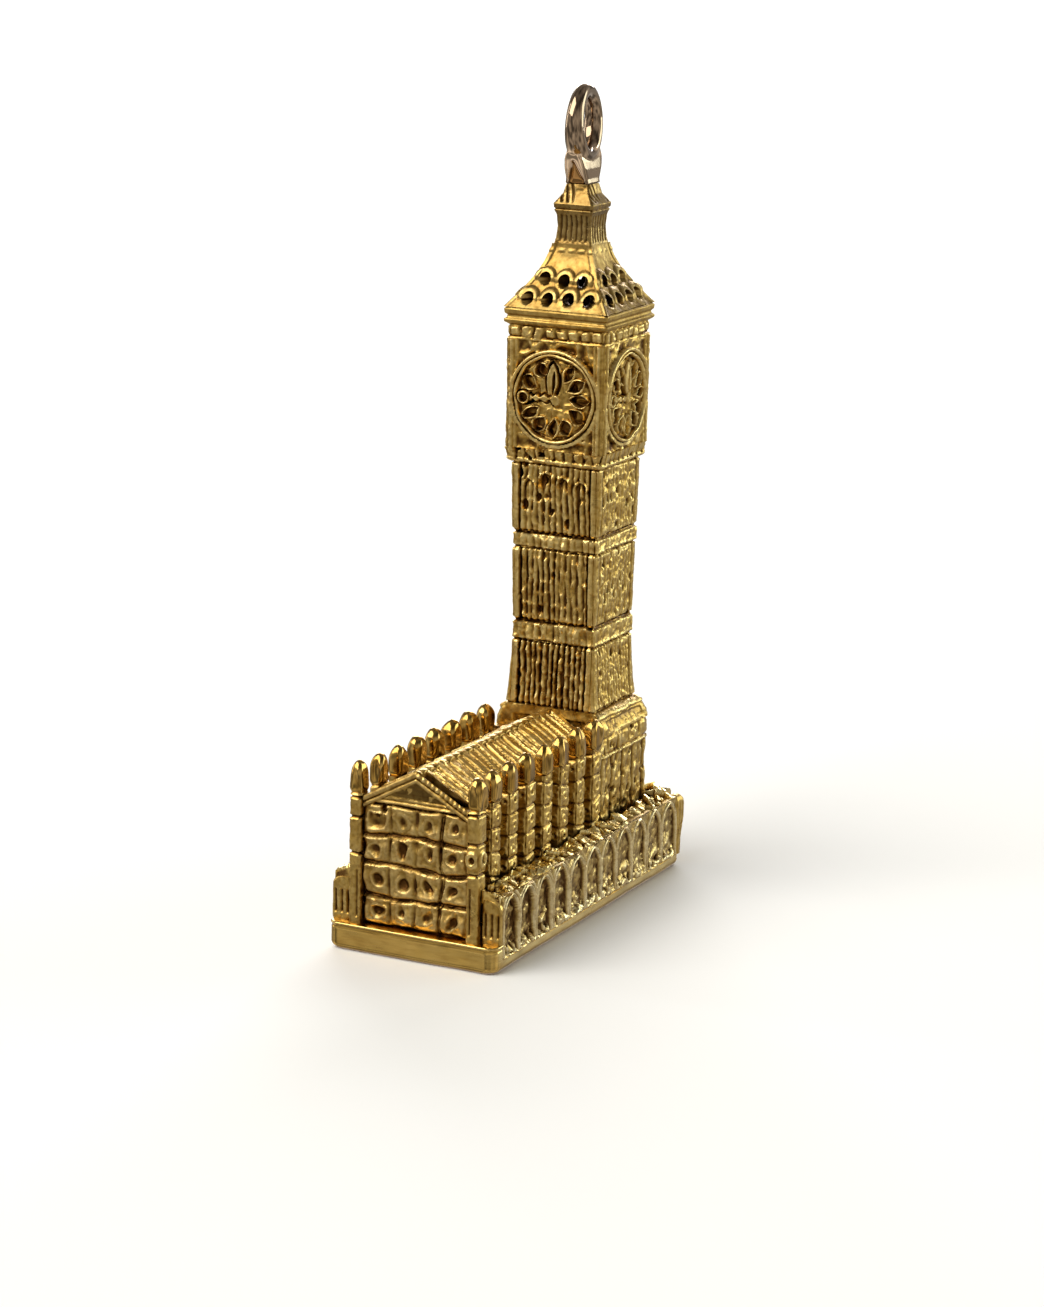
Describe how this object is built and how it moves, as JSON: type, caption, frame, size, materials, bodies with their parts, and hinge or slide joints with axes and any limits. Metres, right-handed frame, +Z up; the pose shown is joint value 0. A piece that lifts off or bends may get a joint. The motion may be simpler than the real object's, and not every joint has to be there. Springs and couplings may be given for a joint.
{
  "type": "miniature landmark model",
  "caption": "Miniature gothic clock tower with a gabled hall, arcaded aisles, pierced roof and a fixed bail ring, a gold charm.",
  "frame": {"origin": "middle of the flat underside of the base plate", "axes": "+Z up the tower, -Y out of the hall's gabled front, +X to the right seen from that front; the bail's hole runs 8 degrees off X"},
  "size_m": [0.0086, 0.0205, 0.038],
  "materials": {
    "polished_gold": "smooth, softly polished, fine wear scratches",
    "textured_gold": "cast, chased and worn, dark in the recesses, bright on the edges",
    "pale_gold": "bright polish, paler and rosier than the casting"
  },
  "bodies": {
    "root": {"aisle_end_left": "textured_gold", "aisle_end_right": "textured_gold", "aisle_roof_left": "textured_gold", "aisle_roof_right": "textured_gold", "arcade_wall_left": "textured_gold", "arcade_wall_right": "textured_gold", "bail": "pale_gold", "base_plate": "polished_gold", "clock_dial_back": "textured_gold", "clock_dial_front": "textured_gold", "clock_dial_left": "textured_gold", "clock_dial_right": "textured_gold", "clock_stage": "textured_gold", "corbel_course": "textured_gold", "corner_turret_left": "textured_gold", "corner_turret_right": "textured_gold", "cornice": "textured_gold", "frieze": "textured_gold", "hall_front": "textured_gold", "hall_piers_left": "textured_gold", "hall_piers_right": "textured_gold", "hall_roof": "textured_gold", "hall_side_left": "textured_gold", "hall_side_right": "textured_gold", "lantern": "textured_gold", "lantern_cap": "textured_gold", "plinth_shoulder": "textured_gold", "rear_pier_left": "textured_gold", "rear_pier_right": "textured_gold", "rear_terrace": "textured_gold", "rear_wall": "textured_gold", "ridge_crest": "textured_gold", "shaft_lower": "textured_gold", "shaft_middle": "textured_gold", "shaft_upper": "textured_gold", "string_course_lower": "textured_gold", "string_course_upper": "textured_gold", "tower_plinth": "textured_gold", "tower_roof": "textured_gold"}
  },
  "joints": []
}
